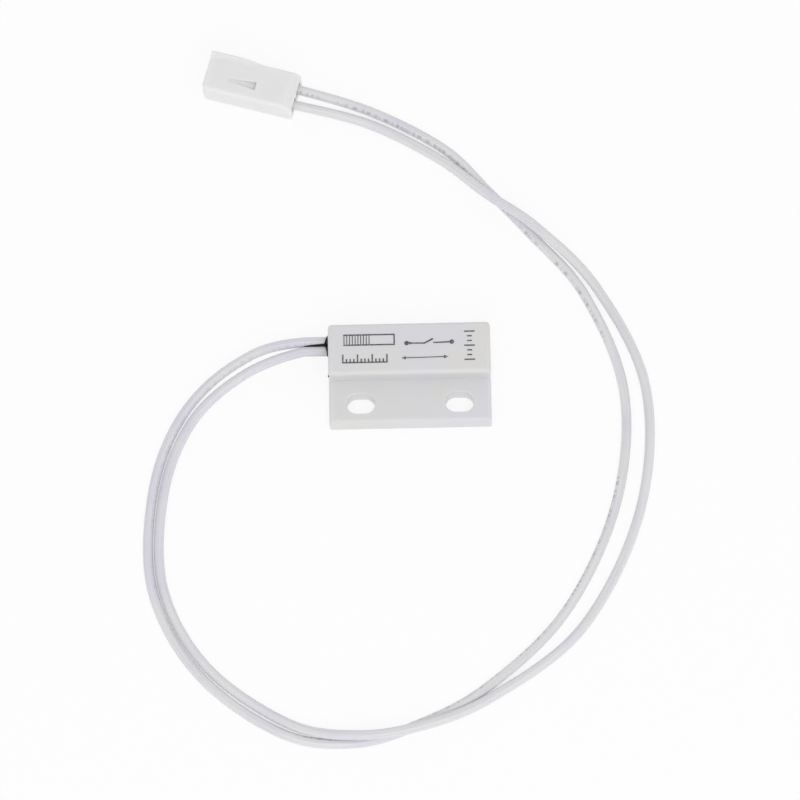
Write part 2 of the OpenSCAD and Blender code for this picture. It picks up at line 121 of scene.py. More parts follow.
def meshFrom(bm, name, smoothBelow=40):  # degrees between two faces
    bmesh.ops.recalc_face_normals(bm, faces=bm.faces)
    mesh = bpy.data.meshes.new(name)
    for face in bm.faces:
        face.smooth = True
    for edge in bm.edges:
        edge.smooth = len(edge.link_faces) != 2 or edge.calc_face_angle() < math.radians(smoothBelow)
    bm.to_mesh(mesh)
    bm.free()
    return mesh


# Camera, where the photograph was taken from: nearly above, seen through a long lens
cameraView = {
    "tilt": 18,  # degrees from straight down
    "turn": 2,
    "roll": 3.07,
    "distance": 600,
    "aim": (-1.48, 1.37, 0),
    "pixelsPerMm": 7.0255,
    "pictureWidth": 800,
    "sensor": 36,
    "clip": (10, 5000),
}


def makeCamera(view):
    tilt, turn, roll = [math.radians(view[k]) for k in ("tilt", "turn", "roll")]
    back = Vector((math.sin(turn) * math.sin(tilt), -math.cos(turn) * math.sin(tilt), math.cos(tilt)))
    level = Vector((math.cos(turn), math.sin(turn), 0))
    upright = back.cross(level)
    right = math.cos(roll) * level - math.sin(roll) * upright
    up = math.sin(roll) * level + math.cos(roll) * upright
    data = bpy.data.cameras.new("camera")
    data.sensor_width = view["sensor"]
    data.lens = view["pixelsPerMm"] * view["distance"] * view["sensor"] / view["pictureWidth"]
    data.clip_start, data.clip_end = [mm(distance) for distance in view["clip"]]
    camera = bpy.data.objects.new("camera", data)
    axes = Matrix((right, up, back)).transposed().to_4x4()
    camera.matrix_world = Matrix.Translation(mmPoint(view["aim"]) + back * mm(view["distance"])) @ axes
    scene.collection.objects.link(camera)
    scene.camera = camera


makeCamera(cameraView)
print("camera ready")


# The two leads, from the joints in the resin to the crimps in the plug. Lead b crosses over lead a twice.
leads = {
    "diameter": 1.4,
    "leadOut": 3.5,  # straight stretch outside the housing
    "sides": 32,
    "steps": 12,  # rings between two points of the route
    "plugAt": (-15.8, 47.2, 2.15),  # at the plug's wire end, midway between the leads
    "plugTurn": 164,  # degrees
    "plugPitch": 2.5,
    "mouth": 1,  # into the plug from its wire end, where a lead starts to run straight
    "crimp": 4.2,  # and where it ends
}
leadA = {
    "joint": (6.8, 9.35, 2.95),
    "side": -1,
    "length": 0.2512,  # metres, from joint to crimp
    "route": [
        (-24.4, 6.8, 1.9), (-32.2, -0.3, 0.9), (-36.5, -11.4, 0.76), (-36.7, -26, 0.71), (-30.2, -38.5, 0.7),
        (-18.7, -47.1, 0.7), (-8.6, -48.7, 0.7), (0.4, -46.2, 0.7), (9.9, -41.2, 0.7), (21.1, -30.6, 0.7),
        (28.7, -15, 0.7), (30.4, 1.6, 0.7), (25.2, 16.4, 0.7), (17.6, 26, 0.7), (11.8, 32.5, 0.71),
        (5.5, 39.2, 0.76), (-4.9, 45.1, 1),
    ],
}
leadB = {
    "joint": (-8.6, 7.9, 2.95),
    "side": 1,
    "length": 0.2356,  # metres, from joint to crimp
    "route": [
        (-23.5, 5, 1.9), (-30.9, -1.4, 0.9), (-35, -11.8, 0.76), (-35.2, -25.7, 0.71), (-29.1, -37.4, 0.74),
        (-17.9, -45.7, 0.9), (-8.6, -47.9, 2.1), (0.6, -46.8, 2.2), (10.6, -42.6, 1.1), (23.5, -32.8, 0.78),
        (32.1, -15.9, 0.72), (33.5, 2.2, 0.72), (27, 17.3, 0.88), (18.5, 26.4, 2.1), (11.5, 31.6, 2.2),
        (4.6, 37.7, 1), (-5.5, 43.3, 1),
    ],
}
housingLow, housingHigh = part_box("housing")


def plugPoint(x, y):
    turn = math.radians(leads["plugTurn"])
    at = Vector(leads["plugAt"])
    return at + Vector((x * math.cos(turn) - y * math.sin(turn), x * math.sin(turn) + y * math.cos(turn), 0))


def leadPath(lead):  # straight out of the resin, one smooth curve through the route, straight into the plug
    joint = Vector(lead["joint"])
    side = lead["side"] * leads["plugPitch"] / 2
    start = Vector((housingLow.x * 1000 - leads["leadOut"], joint.y, joint.z))
    mouth, crimp = plugPoint(leads["mouth"], side), plugPoint(leads["crimp"], side)
    knots = [joint, start] + [Vector(p) for p in lead["route"]] + [mouth, crimp]
    steps = leads["steps"]
    path = [joint + (start - joint) * i / steps for i in range(steps)]
    for o, p, q, r in zip(knots, knots[1:], knots[2:], knots[3:]):
        for i in range(steps):
            t = i / steps
            path.append(0.5 * (
                2 * p + (q - o) * t + (2 * o - 5 * p + 4 * q - r) * t * t + (3 * p - o - 3 * q + r) * t ** 3
            ))
    path += [mouth + (crimp - mouth) * i / steps for i in range(steps + 1)]
    return [p / 1000 for p in path]


def leadMesh(name, path, diameter, sides):  # its material gets the place round and along it, in mm
    bm = bmesh.new()
    lengthways = bm.verts.layers.float_vector.new("lengthways")
    rings, run = [], 0
    reach = diameter * 500  # radius in mm
    for i, point in enumerate(path):
        ahead = (path[min(i + 1, len(path) - 1)] - path[max(i - 1, 0)]).normalized()
        across = Vector((0, 0, 1)).cross(ahead).normalized()
        up = ahead.cross(across)
        if i:
            run += (point - path[i - 1]).length
        ring = []
        for k in range(sides):
            angle = 2 * math.pi * k / sides
            out = math.cos(angle) * across + math.sin(angle) * up
            vert = bm.verts.new(point + out * diameter / 2)
            vert[lengthways] = (reach * math.cos(angle), reach * math.sin(angle), run * 1000)
            ring.append(vert)
        rings.append(ring)
    for near, far in zip(rings, rings[1:]):
        for k in range(sides):
            n = (k + 1) % sides
            bm.faces.new((near[k], near[n], far[n], far[k]))
    bm.faces.new(rings[0][::-1])
    bm.faces.new(rings[-1])
    return meshFrom(bm, name)


def makeLead(name, lead, node, material):
    path = leadPath(lead)
    mesh = leadMesh(name, path, mm(leads["diameter"]), leads["sides"])
    piece = addPiece(name, mesh, material)
    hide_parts(node)
    return piece, path


# PVC insulation, extruded: satin, greyish white with a lilac tinge, fine draw lines along its length
pvcLook = {
    "colour": "#dadadc",
    "cool": "#d5d4dd",
    "grey": "#c2c1c7",
    "roughness": 0.42,
    "wander": (-0.06, 0.1),  # of the roughness, across the draw lines
    "ior": 1.54,
    "bleed": (0.35, 0.4),
    "tintLength": 9,  # mm, a stretch of one tinge
    "coolFrom": (0.45, 0.65),  # share of the noise at which the lilac starts, and is full
    "paintedCastSide": (-35, 10),  # mm along X, where the painted lilac cast of the light is strongest and weakest
    "paintedCastShift": 0.08,  # and by how much of the noise
    "lineWidth": 0.2,  # mm, draw lines, five times coarser than real ones so that they show
    "lineLength": 16,
    "lineDepth": 0.006,
    "greyFrom": (0.45, 0.8),  # share of the noise at which grey starts, and is full
    "greyMost": 0.5,
}

# The worn line of marks along the inner side of lead a: strokes in groups, printed over and over with a bare
# stretch between, and rubbed off more towards the sensor. Sizes in mm.
leadMarks = {
    "ink": "#7d7c85",
    "at": 42,  # degrees up from the inner side
    "edge": (0.125, 0.375),  # from the line's middle, where the ink starts to fade and where it ends
    "stroke": (0.7, 0.44, 0.62, 2),  # about one mark's width, noise where it starts and is full, octaves
    "group": (5, 0.25, 0.5, 0),
    "pitch": 90,  # one line of marks with its bare stretch
    "bareAt": 178,  # from the joint, the middle of a bare stretch
    "bareEdge": (7, 10),  # from the middle of a bare stretch, where the ink starts and is full
    "left": 0.46,  # share of ink that is left on the plug's half of the lead
    "rubbed": (80, 150, 0.35),  # where that changes along the lead, and its share on the other half
}


def markedPlaces(tree, along):  # share of ink, from mm round and along the lead
    marks, reach, angle = leadMarks, leads["diameter"] / 2, math.radians(leadMarks["at"])
    flat = addNode(
        tree, "ShaderNodeVectorMath", {"operation": "MULTIPLY", 1: (1, 1, 0)}, {0: along.outputs["Vector"]},
    )
    away = addNode(
        tree, "ShaderNodeVectorMath",
        {"operation": "DISTANCE", 1: (reach * math.cos(angle), reach * math.sin(angle), 0)},
        {0: flat.outputs[0]},
    )
    onLine = addNode(
        tree, "ShaderNodeMapRange",
        {"From Min": marks["edge"][0], "From Max": marks["edge"][1], "To Min": 1, "To Max": 0},
        {"Value": away.outputs["Value"]},
    )
    run = addNode(tree, "ShaderNodeSeparateXYZ", {}, {0: along.outputs["Vector"]}).outputs["Z"]
    shares = []
    for size, low, high, octaves in (marks["stroke"], marks["group"]):
        pattern = addNode(
            tree, "ShaderNodeTexNoise",
            {"noise_dimensions": "1D", "Scale": 1 / size, "Detail": octaves},
            {"W": run},
        )
        shares.append(addNode(
            tree, "ShaderNodeMapRange", {"From Min": low, "From Max": high}, {"Value": pattern.outputs[0]},
        ))
    fromBare = addNode(tree, "ShaderNodeMath", {"operation": "SUBTRACT", 1: marks["bareAt"]}, {0: run})
    nearest = addNode(
        tree, "ShaderNodeMath", {"operation": "PINGPONG", 1: marks["pitch"] / 2}, {0: fromBare.outputs[0]},
    )
    shares.append(addNode(
        tree, "ShaderNodeMapRange",
        {"From Min": marks["bareEdge"][0], "From Max": marks["bareEdge"][1]},
        {"Value": nearest.outputs[0]},
    ))
    start, end, kept = marks["rubbed"]
    shares.append(addNode(
        tree, "ShaderNodeMapRange",
        {"From Min": start, "From Max": end, "To Min": marks["left"] * kept, "To Max": marks["left"]},
        {"Value": run},
    ))
    ink = onLine
    for share in shares:
        ink = addNode(
            tree, "ShaderNodeMath", {"operation": "MULTIPLY"}, {0: ink.outputs[0], 1: share.outputs[0]},
        )
    return ink.outputs[0]


def pvcInsulation(name, marked):
    look = pvcLook
    material, tree, shader, place = newMaterial(name, look)
    tinge = addNode(
        tree, "ShaderNodeTexNoise", {"Scale": 1 / look["tintLength"], "Detail": 2}, {"Vector": place},
    )
    spot = addNode(tree, "ShaderNodeSeparateXYZ", {}, {0: place})
    # painted light: a lilac cast of the light, stronger towards -X, added on top of the insulation's random
    # tinge
    side = addNode(
        tree, "ShaderNodeMapRange",
        {
            "From Min": look["paintedCastSide"][0], "From Max": look["paintedCastSide"][1],
            "To Min": look["paintedCastShift"], "To Max": -look["paintedCastShift"],
        },
        {"Value": spot.outputs["X"]},
    )
    sided = addNode(tree, "ShaderNodeMath", {"operation": "ADD"}, {0: tinge.outputs[0], 1: side.outputs[0]})
    coolness = addNode(
        tree, "ShaderNodeMapRange",
        {"From Min": look["coolFrom"][0], "From Max": look["coolFrom"][1]},
        {"Value": sided.outputs[0]},
    )
    tinted = addNode(
        tree, "ShaderNodeMix",
        {"data_type": "RGBA", 6: hexColour(look["colour"]), 7: hexColour(look["cool"])},
        {0: coolness.outputs[0]},
    )
    along = addNode(tree, "ShaderNodeAttribute", {"attribute_name": "lengthways"})  # mm round and along
    stretch = addNode(
        tree, "ShaderNodeVectorMath",
        {"operation": "MULTIPLY", 1: (1 / look["lineWidth"], 1 / look["lineWidth"], 1 / look["lineLength"])},
        {0: along.outputs["Vector"]},
    )
    lines = addNode(tree, "ShaderNodeTexNoise", {"Scale": 1, "Detail": 1}, {"Vector": stretch.outputs[0]})
    dirt = addNode(
        tree, "ShaderNodeMapRange",
        {"From Min": look["greyFrom"][0], "From Max": look["greyFrom"][1], "To Max": look["greyMost"]},
        {"Value": lines.outputs[0]},
    )
    coloured = addNode(
        tree, "ShaderNodeMix",
        {"data_type": "RGBA", 7: hexColour(look["grey"])},
        {0: dirt.outputs[0], 6: tinted.outputs[2]},
    )
    if marked:
        coloured = addNode(
            tree, "ShaderNodeMix",
            {"data_type": "RGBA", 7: hexColour(leadMarks["ink"])},
            {0: markedPlaces(tree, along), 6: coloured.outputs[2]},
        )
    tree.links.new(coloured.outputs[2], shader.inputs["Base Color"])
    gloss = addNode(
        tree, "ShaderNodeMapRange",
        {"To Min": look["roughness"] + look["wander"][0], "To Max": look["roughness"] + look["wander"][1]},
        {"Value": lines.outputs[0]},
    )
    tree.links.new(gloss.outputs[0], shader.inputs["Roughness"])
    bump = addNode(
        tree, "ShaderNodeBump",
        {"Strength": 1, "Distance": mm(look["lineDepth"])},
        {"Height": lines.outputs[0]},
    )
    tree.links.new(bump.outputs[0], shader.inputs["Normal"])
    return material


pieceA, pathA = makeLead("lead_a", leadA, "wire_a", pvcInsulation("pvcInsulationMarked", True))
pieceB, pathB = makeLead("lead_b", leadB, "wire_b", pvcInsulation("pvcInsulation", False))
print("leads laid")


# PBT, moulded: dense neutral white with a fine eroded grain that keeps its highlights soft
pbtLook = {
    "colour": "#d6d6d7",
    "warm": "#d7d6d5",
    "cool": "#d5d5da",
    "coolFrom": (0.35, 0.65),  # share of the noise at which the cool tone starts, and is full
    "roughness": 0.52,
    "wander": 0.08,  # of the roughness
    "ior": 1.57,
    "bleed": (0.5, 0.4),
    "tintSize": 7,  # mm
    "grain": 0.16,  # mm, spark eroded grain drawn twice as coarse as the mould's
    "grainDepth": 0.01,
    "flowSize": 2.4,
    "paintedSlotLight": "#e1e1e2",  # painted light: the walls of the slots are coloured paler, as if lit from below through the slots
    "slotZone": (10, 1.6),  # mm from the middle, along X and Y
    "steep": 0.7,  # a wall's normal has less than this along Z
}


def mouldedPbt():
    look = pbtLook
    material, tree, shader, place = newMaterial("mouldedPbt", look)
    tinge = addNode(
        tree, "ShaderNodeTexNoise", {"Scale": 1 / look["tintSize"], "Detail": 1.5}, {"Vector": place},
    )
    coolness = addNode(
        tree, "ShaderNodeMapRange",
        {"From Min": look["coolFrom"][0], "From Max": look["coolFrom"][1]},
        {"Value": tinge.outputs[0]},
    )
    tinted = addNode(
        tree, "ShaderNodeMix",
        {"data_type": "RGBA", 6: hexColour(look["warm"]), 7: hexColour(look["cool"])},
        {0: coolness.outputs[0]},
    )
    spot = addNode(tree, "ShaderNodeSeparateXYZ", {}, {0: place})
    # painted light: steep faces inside the slots take the paler colour, standing in for light that comes up
    # through them
    faces = addNode(tree, "ShaderNodeNewGeometry", {})
    facing = addNode(tree, "ShaderNodeSeparateXYZ", {}, {0: faces.outputs["True Normal"]})
    slope = addNode(tree, "ShaderNodeMath", {"operation": "ABSOLUTE"}, {0: facing.outputs["Z"]})
    paintedSlotLightMask = addNode(
        tree, "ShaderNodeMath", {"operation": "LESS_THAN", 1: look["steep"]}, {0: slope.outputs[0]},
    )
    for axis, limit in zip("XY", look["slotZone"]):
        away = addNode(tree, "ShaderNodeMath", {"operation": "ABSOLUTE"}, {0: spot.outputs[axis]})
        near = addNode(tree, "ShaderNodeMath", {"operation": "LESS_THAN", 1: limit}, {0: away.outputs[0]})
        paintedSlotLightMask = addNode(
            tree, "ShaderNodeMath", {"operation": "MULTIPLY"}, {0: paintedSlotLightMask.outputs[0], 1: near.outputs[0]},
        )
    coloured = addNode(
        tree, "ShaderNodeMix",
        {"data_type": "RGBA", 7: hexColour(look["paintedSlotLight"])},
        {0: paintedSlotLightMask.outputs[0], 6: tinted.outputs[2]},
    )
    tree.links.new(coloured.outputs[2], shader.inputs["Base Color"])
    flow = addNode(
        tree, "ShaderNodeTexNoise", {"Scale": 1 / look["flowSize"], "Detail": 3}, {"Vector": place},
    )
    gloss = addNode(
        tree, "ShaderNodeMapRange",
        {"To Min": look["roughness"] - look["wander"], "To Max": look["roughness"] + look["wander"]},
        {"Value": flow.outputs[0]},
    )
    tree.links.new(gloss.outputs[0], shader.inputs["Roughness"])
    grain = addNode(
        tree, "ShaderNodeTexNoise", {"Scale": 1 / look["grain"], "Detail": 2}, {"Vector": place},
    )
    bump = addNode(
        tree, "ShaderNodeBump",
        {"Strength": 1, "Distance": mm(look["grainDepth"])},
        {"Height": grain.outputs[0]},
    )
    tree.links.new(bump.outputs[0], shader.inputs["Normal"])
    return material


# Nylon 66, moulded: a little clearer and whiter than the housing, glossier on its draw faces
nylonLook = {
    "colour": "#e5e5e5",
    "deep": "#e0e0e0",
    "roughness": 0.45,
    "wander": (-0.05, 0.08),  # of the roughness
    "ior": 1.53,
    "bleed": (0.9, 0.5),
    "tintSize": 4,
    "grain": 0.3,
    "grainDepth": 0.004,
}


def mouldedNylon():
    look = nylonLook
    material, tree, shader, place = newMaterial("mouldedNylon", look)
    cloud = addNode(
        tree, "ShaderNodeTexNoise", {"Scale": 1 / look["tintSize"], "Detail": 2}, {"Vector": place},
    )
    tinted = addNode(
        tree, "ShaderNodeMix",
        {"data_type": "RGBA", 6: hexColour(look["colour"]), 7: hexColour(look["deep"])},
        {0: cloud.outputs[0]},
    )
    tree.links.new(tinted.outputs[2], shader.inputs["Base Color"])
    grain = addNode(
        tree, "ShaderNodeTexNoise", {"Scale": 1 / look["grain"], "Detail": 2}, {"Vector": place},
    )
    gloss = addNode(
        tree, "ShaderNodeMapRange",
        {"To Min": look["roughness"] + look["wander"][0], "To Max": look["roughness"] + look["wander"][1]},
        {"Value": grain.outputs[0]},
    )
    tree.links.new(gloss.outputs[0], shader.inputs["Roughness"])
    bump = addNode(
        tree, "ShaderNodeBump",
        {"Strength": 1, "Distance": mm(look["grainDepth"])},
        {"Height": grain.outputs[0]},
    )
    tree.links.new(bump.outputs[0], shader.inputs["Normal"])
    return material


# Epoxy, poured: deep black with a slack surface and a low sheen
epoxyLook = {
    "colour": "#050506",
    "roughness": 0.24,
    "ior": 1.55,
    "shine": 0.1,  # a thin matt skin keeps the surface from mirroring
    "sagSize": 0.7,
    "sagDepth": 0.03,
    "sagStrength": 0.6,
}


def pouredEpoxy():
    look = epoxyLook
    material, tree, shader, place = newMaterial("pouredEpoxy", look)
    shader.inputs["Specular IOR Level"].default_value = look["shine"]
    sag = addNode(
        tree, "ShaderNodeTexNoise", {"Scale": 1 / look["sagSize"], "Detail": 2}, {"Vector": place},
    )
    bump = addNode(
        tree, "ShaderNodeBump",
        {"Strength": look["sagStrength"], "Distance": mm(look["sagDepth"])},
        {"Height": sag.outputs[0]},
    )
    tree.links.new(bump.outputs[0], shader.inputs["Normal"])
    return material


# Soda-lime glass, drawn and fused: clear with a green cast, and slightly wavy where it was melted
glassLook = {
    "colour": "#dff0e4",
    "roughness": 0.03,
    "haze": 0.1,  # the roughest places
    "ior": 1.52,
    "waveSize": 1.6,  # mm
    "waveDepth": 0.02,
}


def sodaLimeGlass():
    look = glassLook
    material, tree, shader, place = newMaterial("sodaLimeGlass", look)
    shader.inputs["Transmission Weight"].default_value = 1
    wave = addNode(
        tree, "ShaderNodeTexNoise", {"Scale": 1 / look["waveSize"], "Detail": 1}, {"Vector": place},
    )
    gloss = addNode(
        tree, "ShaderNodeMapRange",
        {"To Min": look["roughness"], "To Max": look["haze"]},
        {"Value": wave.outputs[0]},
    )
    tree.links.new(gloss.outputs[0], shader.inputs["Roughness"])
    bump = addNode(
        tree, "ShaderNodeBump",
        {"Strength": 1, "Distance": mm(look["waveDepth"])},
        {"Height": wave.outputs[0]},
    )
    tree.links.new(bump.outputs[0], shader.inputs["Normal"])
    return material


# The metals inside: each is a base tone, a second tone along its grain, and a grain that the light catches.
# Grain and its depth are given in mm, the grain along X, Y and Z.
metalLooks = {
    "nickelIronWire": {  # drawn, so it is a warm grey with fine lines along X
        "colour": "#b7b1a6", "second": "#9d978d", "roughness": 0.3,
        "grain": (4, 0.08, 0.08), "depth": 0.004,
    },
    "tinSolder": {  # set from a melt, so it is bright, smooth and blotched
        "colour": "#cdced0", "second": "#a9abae", "roughness": 0.22,
        "grain": (0.5, 0.5, 0.5), "depth": 0.03,
    },
    "tinnedCopperStrands": {  # drawn and dipped, so copper shows through a pale coat in lines
        "colour": "#cfccc4", "second": "#b89f86", "roughness": 0.32,
        "grain": (1.5, 0.1, 0.1), "depth": 0.004,
    },
    "tinPlatedBronze": {  # rolled and plated, so it is a yellowish grey with faint roll lines
        "colour": "#cbc7bb", "second": "#b3a78d", "roughness": 0.28,
        "grain": (3, 0.12, 0.12), "depth": 0.003,
    },
}
metalGrain = {
    "secondFrom": (0.4, 0.75),  # share of the noise at which the second tone starts, and is full
    "wander": (-0.08, 0.14),  # of the roughness
}
innerPieces = {
    "nickelIronWire": ("reed_blade_near", "reed_blade_far"),
    "tinSolder": ("solder_near", "solder_far"),
    "tinnedCopperStrands": ("conductor_a_reed", "conductor_b_reed", "conductor_a_plug", "conductor_b_plug"),
    "tinPlatedBronze": ("terminal_a", "terminal_b"),
}


def grainedMetal(name):
    look = metalLooks[name]
    material, tree, shader, place = newMaterial(name, look)
    shader.inputs["Metallic"].default_value = 1
    squeezed = addNode(
        tree, "ShaderNodeVectorMath",
        {"operation": "MULTIPLY", 1: tuple(1 / size for size in look["grain"])},
        {0: place},
    )
    grain = addNode(tree, "ShaderNodeTexNoise", {"Scale": 1, "Detail": 3}, {"Vector": squeezed.outputs[0]})
    share = addNode(
        tree, "ShaderNodeMapRange",
        {"From Min": metalGrain["secondFrom"][0], "From Max": metalGrain["secondFrom"][1]},
        {"Value": grain.outputs[0]},
    )
    toned = addNode(
        tree, "ShaderNodeMix",
        {"data_type": "RGBA", 6: hexColour(look["colour"]), 7: hexColour(look["second"])},
        {0: share.outputs[0]},
    )
    tree.links.new(toned.outputs[2], shader.inputs["Base Color"])
    smooth, rough = [look["roughness"] + change for change in metalGrain["wander"]]
    gloss = addNode(
        tree, "ShaderNodeMapRange", {"To Min": smooth, "To Max": rough}, {"Value": grain.outputs[0]},
    )
    tree.links.new(gloss.outputs[0], shader.inputs["Roughness"])
    bump = addNode(
        tree, "ShaderNodeBump",
        {"Strength": 1, "Distance": mm(look["depth"])},
        {"Height": grain.outputs[0]},
    )
    tree.links.new(bump.outputs[0], shader.inputs["Normal"])
    return material


# Moulded edges are never sharp: the parting edges get a small round
edgeRounds = {
    "housing": 0.08,
    "plug": 0.07,
    "segments": 3,
    "sharpFrom": 32,  # degrees
    "flatWithin": 0.3,  # degrees, faces that are joined before the rounds are made
    "weld": 0.0005,  # mm, corners nearer than this are one
}


def softened(name, node, radius, material):
    bm = bmesh.new()
    bm.from_mesh(cadNodes[node].data)
    flatWithin, sharpFrom = math.radians(edgeRounds["flatWithin"]), math.radians(edgeRounds["sharpFrom"])
    bmesh.ops.remove_doubles(bm, verts=bm.verts, dist=mm(edgeRounds["weld"]))
    bmesh.ops.dissolve_limit(bm, angle_limit=flatWithin, verts=bm.verts, edges=bm.edges)
    sharp = [e for e in bm.edges if len(e.link_faces) == 2 and e.calc_face_angle() > sharpFrom]
    bmesh.ops.bevel(
        bm, geom=sharp, offset=mm(radius), offset_type="OFFSET", segments=edgeRounds["segments"],
        profile=0.5, affect="EDGES", clamp_overlap=True,
    )
    piece = addPiece(name, meshFrom(bm, name), material)
    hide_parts(node)
    piece.modifiers.new("faces flat, rounds soft", "WEIGHTED_NORMAL")
    return piece


pbt = mouldedPbt()
nylon = mouldedNylon()
epoxy = pouredEpoxy()
softened("housing_shell", "housing", edgeRounds["housing"], pbt)
plug = softened("plug_shell", "plug_housing", edgeRounds["plug"], nylon)
giveMaterial(cadNodes["potting"], epoxy)
giveMaterial(cadNodes["reed_glass"], sodaLimeGlass())
for metal, nodes in innerPieces.items():
    metalMaterial = grainedMetal(metal)
    for node in nodes:
        giveMaterial(cadNodes[node], metalMaterial)
print("housing and plug moulded, switch and contacts finished")


# Resin that climbed the leads: a skirt round each one, and a thin wedge in the groove between them, in mm
wick = {
    "skirt": 0.24,  # thickness round a lead at the housing's face
    "rim": 0.06,
    "reachA": (0.25, 0.75, 1.5),  # on the outer side, in the groove, and how soon it drops between
    "reachB": (0.2, 0.6, 2),
    "sides": 40,
    "rings": 8,
    "into": 0.05,  # how deep it starts in the housing's resin and in the lead
    "tuck": 0.01,  # how deep its thin end lies in the lead
    "grooveLength": 3.6,
    "grooveHeight": 0.5,
    "grooveLeast": 0.03,
    "grooveFade": 0.3,
    "grooveLean": (1.18, 0.8),  # it climbs further up lead a than lead b
    "grooveTop": 0.99,  # and never past this share of a lead's radius
    "grooveSections": 16,
    "grooveArc": 8,
}


def closedLoft(bm, sections, joined=False):
    rings = [[bm.verts.new(mmPoint(p)) for p in section] for section in sections]
    count = len(rings[0])
    pairs = list(zip(rings, rings[1:])) + ([(rings[-1], rings[0])] if joined else [])
    for near, far in pairs:
        for k in range(count):
            n = (k + 1) % count
            bm.faces.new((near[k], near[n], far[n], far[k]))
    if not joined:
        bm.faces.new(rings[0][::-1])
        bm.faces.new(rings[-1])


def resinSkirt(bm, lead, reach, grooveSide):
    faceX, radius = housingLow.x * 1000, leads["diameter"] / 2
    outer, groove, drop = reach
    rings = wick["rings"]
    sections = []
    for j in range(-1, rings + 2):  # the first and the last ring lie out of sight
        section = []
        for k in range(wick["sides"]):
            angle = 2 * math.pi * k / wick["sides"]
            towards = (1 + grooveSide * math.cos(angle)) / 2
            length = outer + (groove - outer) * towards ** drop
            if j < 0:
                off, out = wick["skirt"], -wick["into"]
            elif j > rings:
                off, out = -wick["into"], -wick["into"]
            else:
                off = wick["skirt"] * (1 - j / rings) ** 2 - wick["tuck"] * j / rings
                out = wick["rim"] + length * j / rings
            section.append((
                faceX - out,
                lead["joint"][1] + (radius + off) * math.cos(angle),
                lead["joint"][2] + (radius + off) * math.sin(angle),
            ))
        sections.append(section)
    closedLoft(bm, sections, joined=True)


def resinGroove(bm):
    faceX, radius = housingLow.x * 1000, leads["diameter"] / 2 - wick["tuck"]
    yA, yB, z = leadA["joint"][1], leadB["joint"][1], leadA["joint"][2]
    sections = []
    for i in range(wick["grooveSections"] + 1):
        share = i / wick["grooveSections"]
        height = max(wick["grooveLeast"], wick["grooveHeight"] * (1 - share) ** wick["grooveFade"])
        x = faceX + wick["into"] - share * (wick["grooveLength"] + wick["into"])
        section = []
        for y, side, lean in ((yA, -1, wick["grooveLean"][0]), (yB, 1, wick["grooveLean"][1])):
            top = math.asin(min(wick["grooveTop"], height * lean / radius))
            angles = [-top * side * (1 - 2 * k / wick["grooveArc"]) for k in range(wick["grooveArc"] + 1)]
            section += [(x, y + side * radius * math.cos(a), z - radius * math.sin(a)) for a in angles]
        sections.append(section)
    closedLoft(bm, sections)


bm = bmesh.new()
resinSkirt(bm, leadA, wick["reachA"], -1)
resinSkirt(bm, leadB, wick["reachB"], 1)
resinGroove(bm)
addPiece("resin_wick", meshFrom(bm, "resin_wick", smoothBelow=60), epoxy)

# A drop of resin that ran over the edge at the wire end: where it sits and its half axes, in mm
drop = {
    "at": (-11.47, 3.5, 5.08),
    "size": (0.09, 0.17, 0.34),
    "swell": 0.3,  # share that its outline wanders
    "lumps": 1.3,  # and how often
    "subdivisions": 3,
}
bm = bmesh.new()
for vert in bmesh.ops.create_icosphere(bm, subdivisions=drop["subdivisions"], radius=1)["verts"]:
    reach = 1 + drop["swell"] * noise.noise(vert.co * drop["lumps"])
    vert.co = mmPoint([at + size * c * reach for at, size, c in zip(drop["at"], drop["size"], vert.co)])
addPiece("resin_drop", meshFrom(bm, "resin_drop", smoothBelow=60), epoxy)
print("resin run")


# Pad printing ink: dark grey, a little thin in places so that the moulding shows through
inkLook = {
    "colour": "#4a4b52",
    "thin": "#85868c",
    "thinFrom": (0.45, 0.75),  # share of the noise at which the ink gets thin, and is thinnest
    "roughness": 0.6,
    "roughest": 0.75,  # where the ink is thin
    "ior": 1.5,
    "patchSize": 0.35,  # mm
}


def padPrintInk():
    look = inkLook
    material, tree, shader, place = newMaterial("padPrintInk", look)
    patch = addNode(
        tree, "ShaderNodeTexNoise", {"Scale": 1 / look["patchSize"], "Detail": 3}, {"Vector": place},
    )
    thinness = addNode(
        tree, "ShaderNodeMapRange",
        {"From Min": look["thinFrom"][0], "From Max": look["thinFrom"][1]},
        {"Value": patch.outputs[0]},
    )
    inked = addNode(
        tree, "ShaderNodeMix",
        {"data_type": "RGBA", 6: hexColour(look["colour"]), 7: hexColour(look["thin"])},
        {0: thinness.outputs[0]},
    )
    tree.links.new(inked.outputs[2], shader.inputs["Base Color"])
    gloss = addNode(
        tree, "ShaderNodeMapRange",
        {"To Min": look["roughness"], "To Max": look["roughest"]},
        {"Value": patch.outputs[0]},
    )
    tree.links.new(gloss.outputs[0], shader.inputs["Roughness"])
    return material


# Printed signs on the body's top, in mm: the contact symbol of a switch, and plain signs beside it.
# Their strokes stop just short of one another, so that no two films lie in the same place.
signs = {
    "film": 0.012,
    "sunk": 0.004,
    "line": 0.2,
    "fine": 0.13,
    "gap": 0.006,
    "dotSides": 28,
    "contact": {
        "dots": ((-0.35, 7.9), (6.05, 7.98)), "dotRadius": 0.33, "nib": (0.42, 0.45),
        "hinge": (2.18, 7.85), "tip": (3.4, 8.5), "tipWidth": 0.27, "rest": (3.42, 7.9),
    },
    "magnet": {"low": (-9.3, 7.75), "high": (-2, 9.25), "hatches": 9},
    "scale": {"from": (-9.4, 5.15), "step": 0.52, "count": 13, "short": 0.55, "long": 1.2, "longEach": 4},
    "travel": {"from": (-1.1, 5.7), "to": (5.5, 5.78), "head": (0.6, 0.55)},
    "level": {"middle": 8.55, "from": 5.3, "step": 0.7, "widths": (1.5, 0.7, 0.7, 1.5, 0.7, 0.7, 1.5)},
}
topZ = housingHigh.z * 1000


def inkFilm(bm, outline):
    low, high = topZ - signs["sunk"], topZ + signs["film"]
    closedLoft(bm, [[(x, y, z) for x, y in outline] for z in (low, high)])


